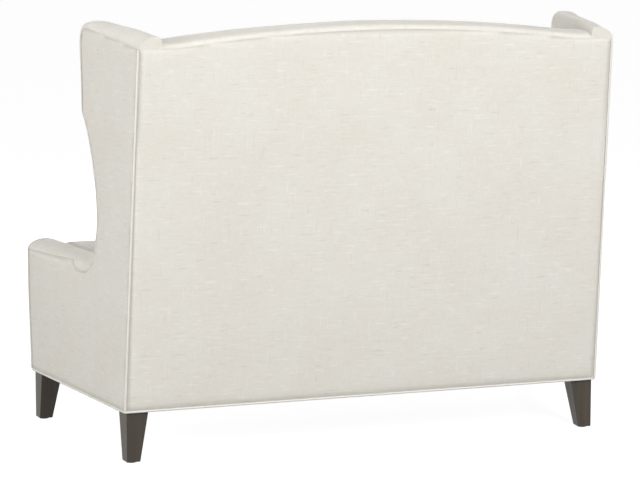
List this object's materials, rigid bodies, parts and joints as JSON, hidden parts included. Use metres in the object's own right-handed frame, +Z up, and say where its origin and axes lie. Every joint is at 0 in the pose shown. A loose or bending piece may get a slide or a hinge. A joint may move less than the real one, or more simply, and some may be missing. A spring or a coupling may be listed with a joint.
{
  "type": "high back settee",
  "caption": "High back settee with padded wings, level arms, a raked back with an arched crest, square tapered wood legs and a loose seat cushion, in an off-white woven cover.",
  "frame": {"origin": "on the floor, under the middle of the bounding box", "axes": "+Z up, the front faces -Y, +X towards the sitter's left"},
  "size_m": [1.5752, 0.7906, 1.1767],
  "materials": {
    "cover_fabric": "off-white linen-look weave with slubs",
    "lining_fabric": "black nonwoven cloth and grey felt",
    "foam": "cut upholstery foam with wadding",
    "frame_wood": "planed hardwood, no finish",
    "board": "thin plain board",
    "leg_wood": "dark brown stain, satin",
    "steel": "plated steel wire and fixings",
    "glide_plastic": "black moulded glide"
  },
  "bodies": {
    "settee": {"left_outside_cover": "cover_fabric", "right_outside_cover": "cover_fabric", "left_outside_board": "board", "right_outside_board": "board", "left_arm_cover": "cover_fabric", "right_arm_cover": "cover_fabric", "left_arm_foam": "foam", "right_arm_foam": "foam", "left_arm_front_panel": "cover_fabric", "right_arm_front_panel": "cover_fabric", "left_arm_rail": "frame_wood", "right_arm_rail": "frame_wood", "left_arm_post": "frame_wood", "right_arm_post": "frame_wood", "left_arm_liner": "board", "right_arm_liner": "board", "left_wing_cover": "cover_fabric", "right_wing_cover": "cover_fabric", "left_wing_foam": "foam", "right_wing_foam": "foam", "left_wing_board": "frame_wood", "right_wing_board": "frame_wood", "left_side_rail": "frame_wood", "right_side_rail": "frame_wood", "left_back_post": "frame_wood", "right_back_post": "frame_wood", "outside_back_cover": "cover_fabric", "outside_back_board": "board", "inside_back_cover": "cover_fabric", "back_foam": "foam", "back_webbing": "lining_fabric", "crest_rail": "frame_wood", "lower_back_rail": "frame_wood", "back_uprights": "frame_wood", "rear_rail": "frame_wood", "front_rail": "frame_wood", "centre_stretcher": "frame_wood", "corner_blocks": "frame_wood", "frame_dowels": "frame_wood", "seat_springs": "steel", "spring_clips": "steel", "deck_insulator": "lining_fabric", "deck_foam": "foam", "deck_cover": "lining_fabric", "front_border": "cover_fabric", "dust_cover": "lining_fabric", "corner_welts": "cover_fabric", "bottom_welt": "cover_fabric", "leg_front_left": "leg_wood", "leg_front_right": "leg_wood", "leg_rear_left": "leg_wood", "leg_rear_right": "leg_wood", "hanger_bolts": "steel", "threaded_inserts": "steel", "glides": "glide_plastic"},
    "seat_cushion": {"cushion_core": "foam", "cushion_cover": "cover_fabric", "cushion_welt": "cover_fabric"}
  },
  "joints": [
    {"name": "cushion_lift", "type": "slide", "parent": "settee", "child": "seat_cushion", "axis": [0, 0, 1], "range_m": [0, 0.2]}
  ]
}
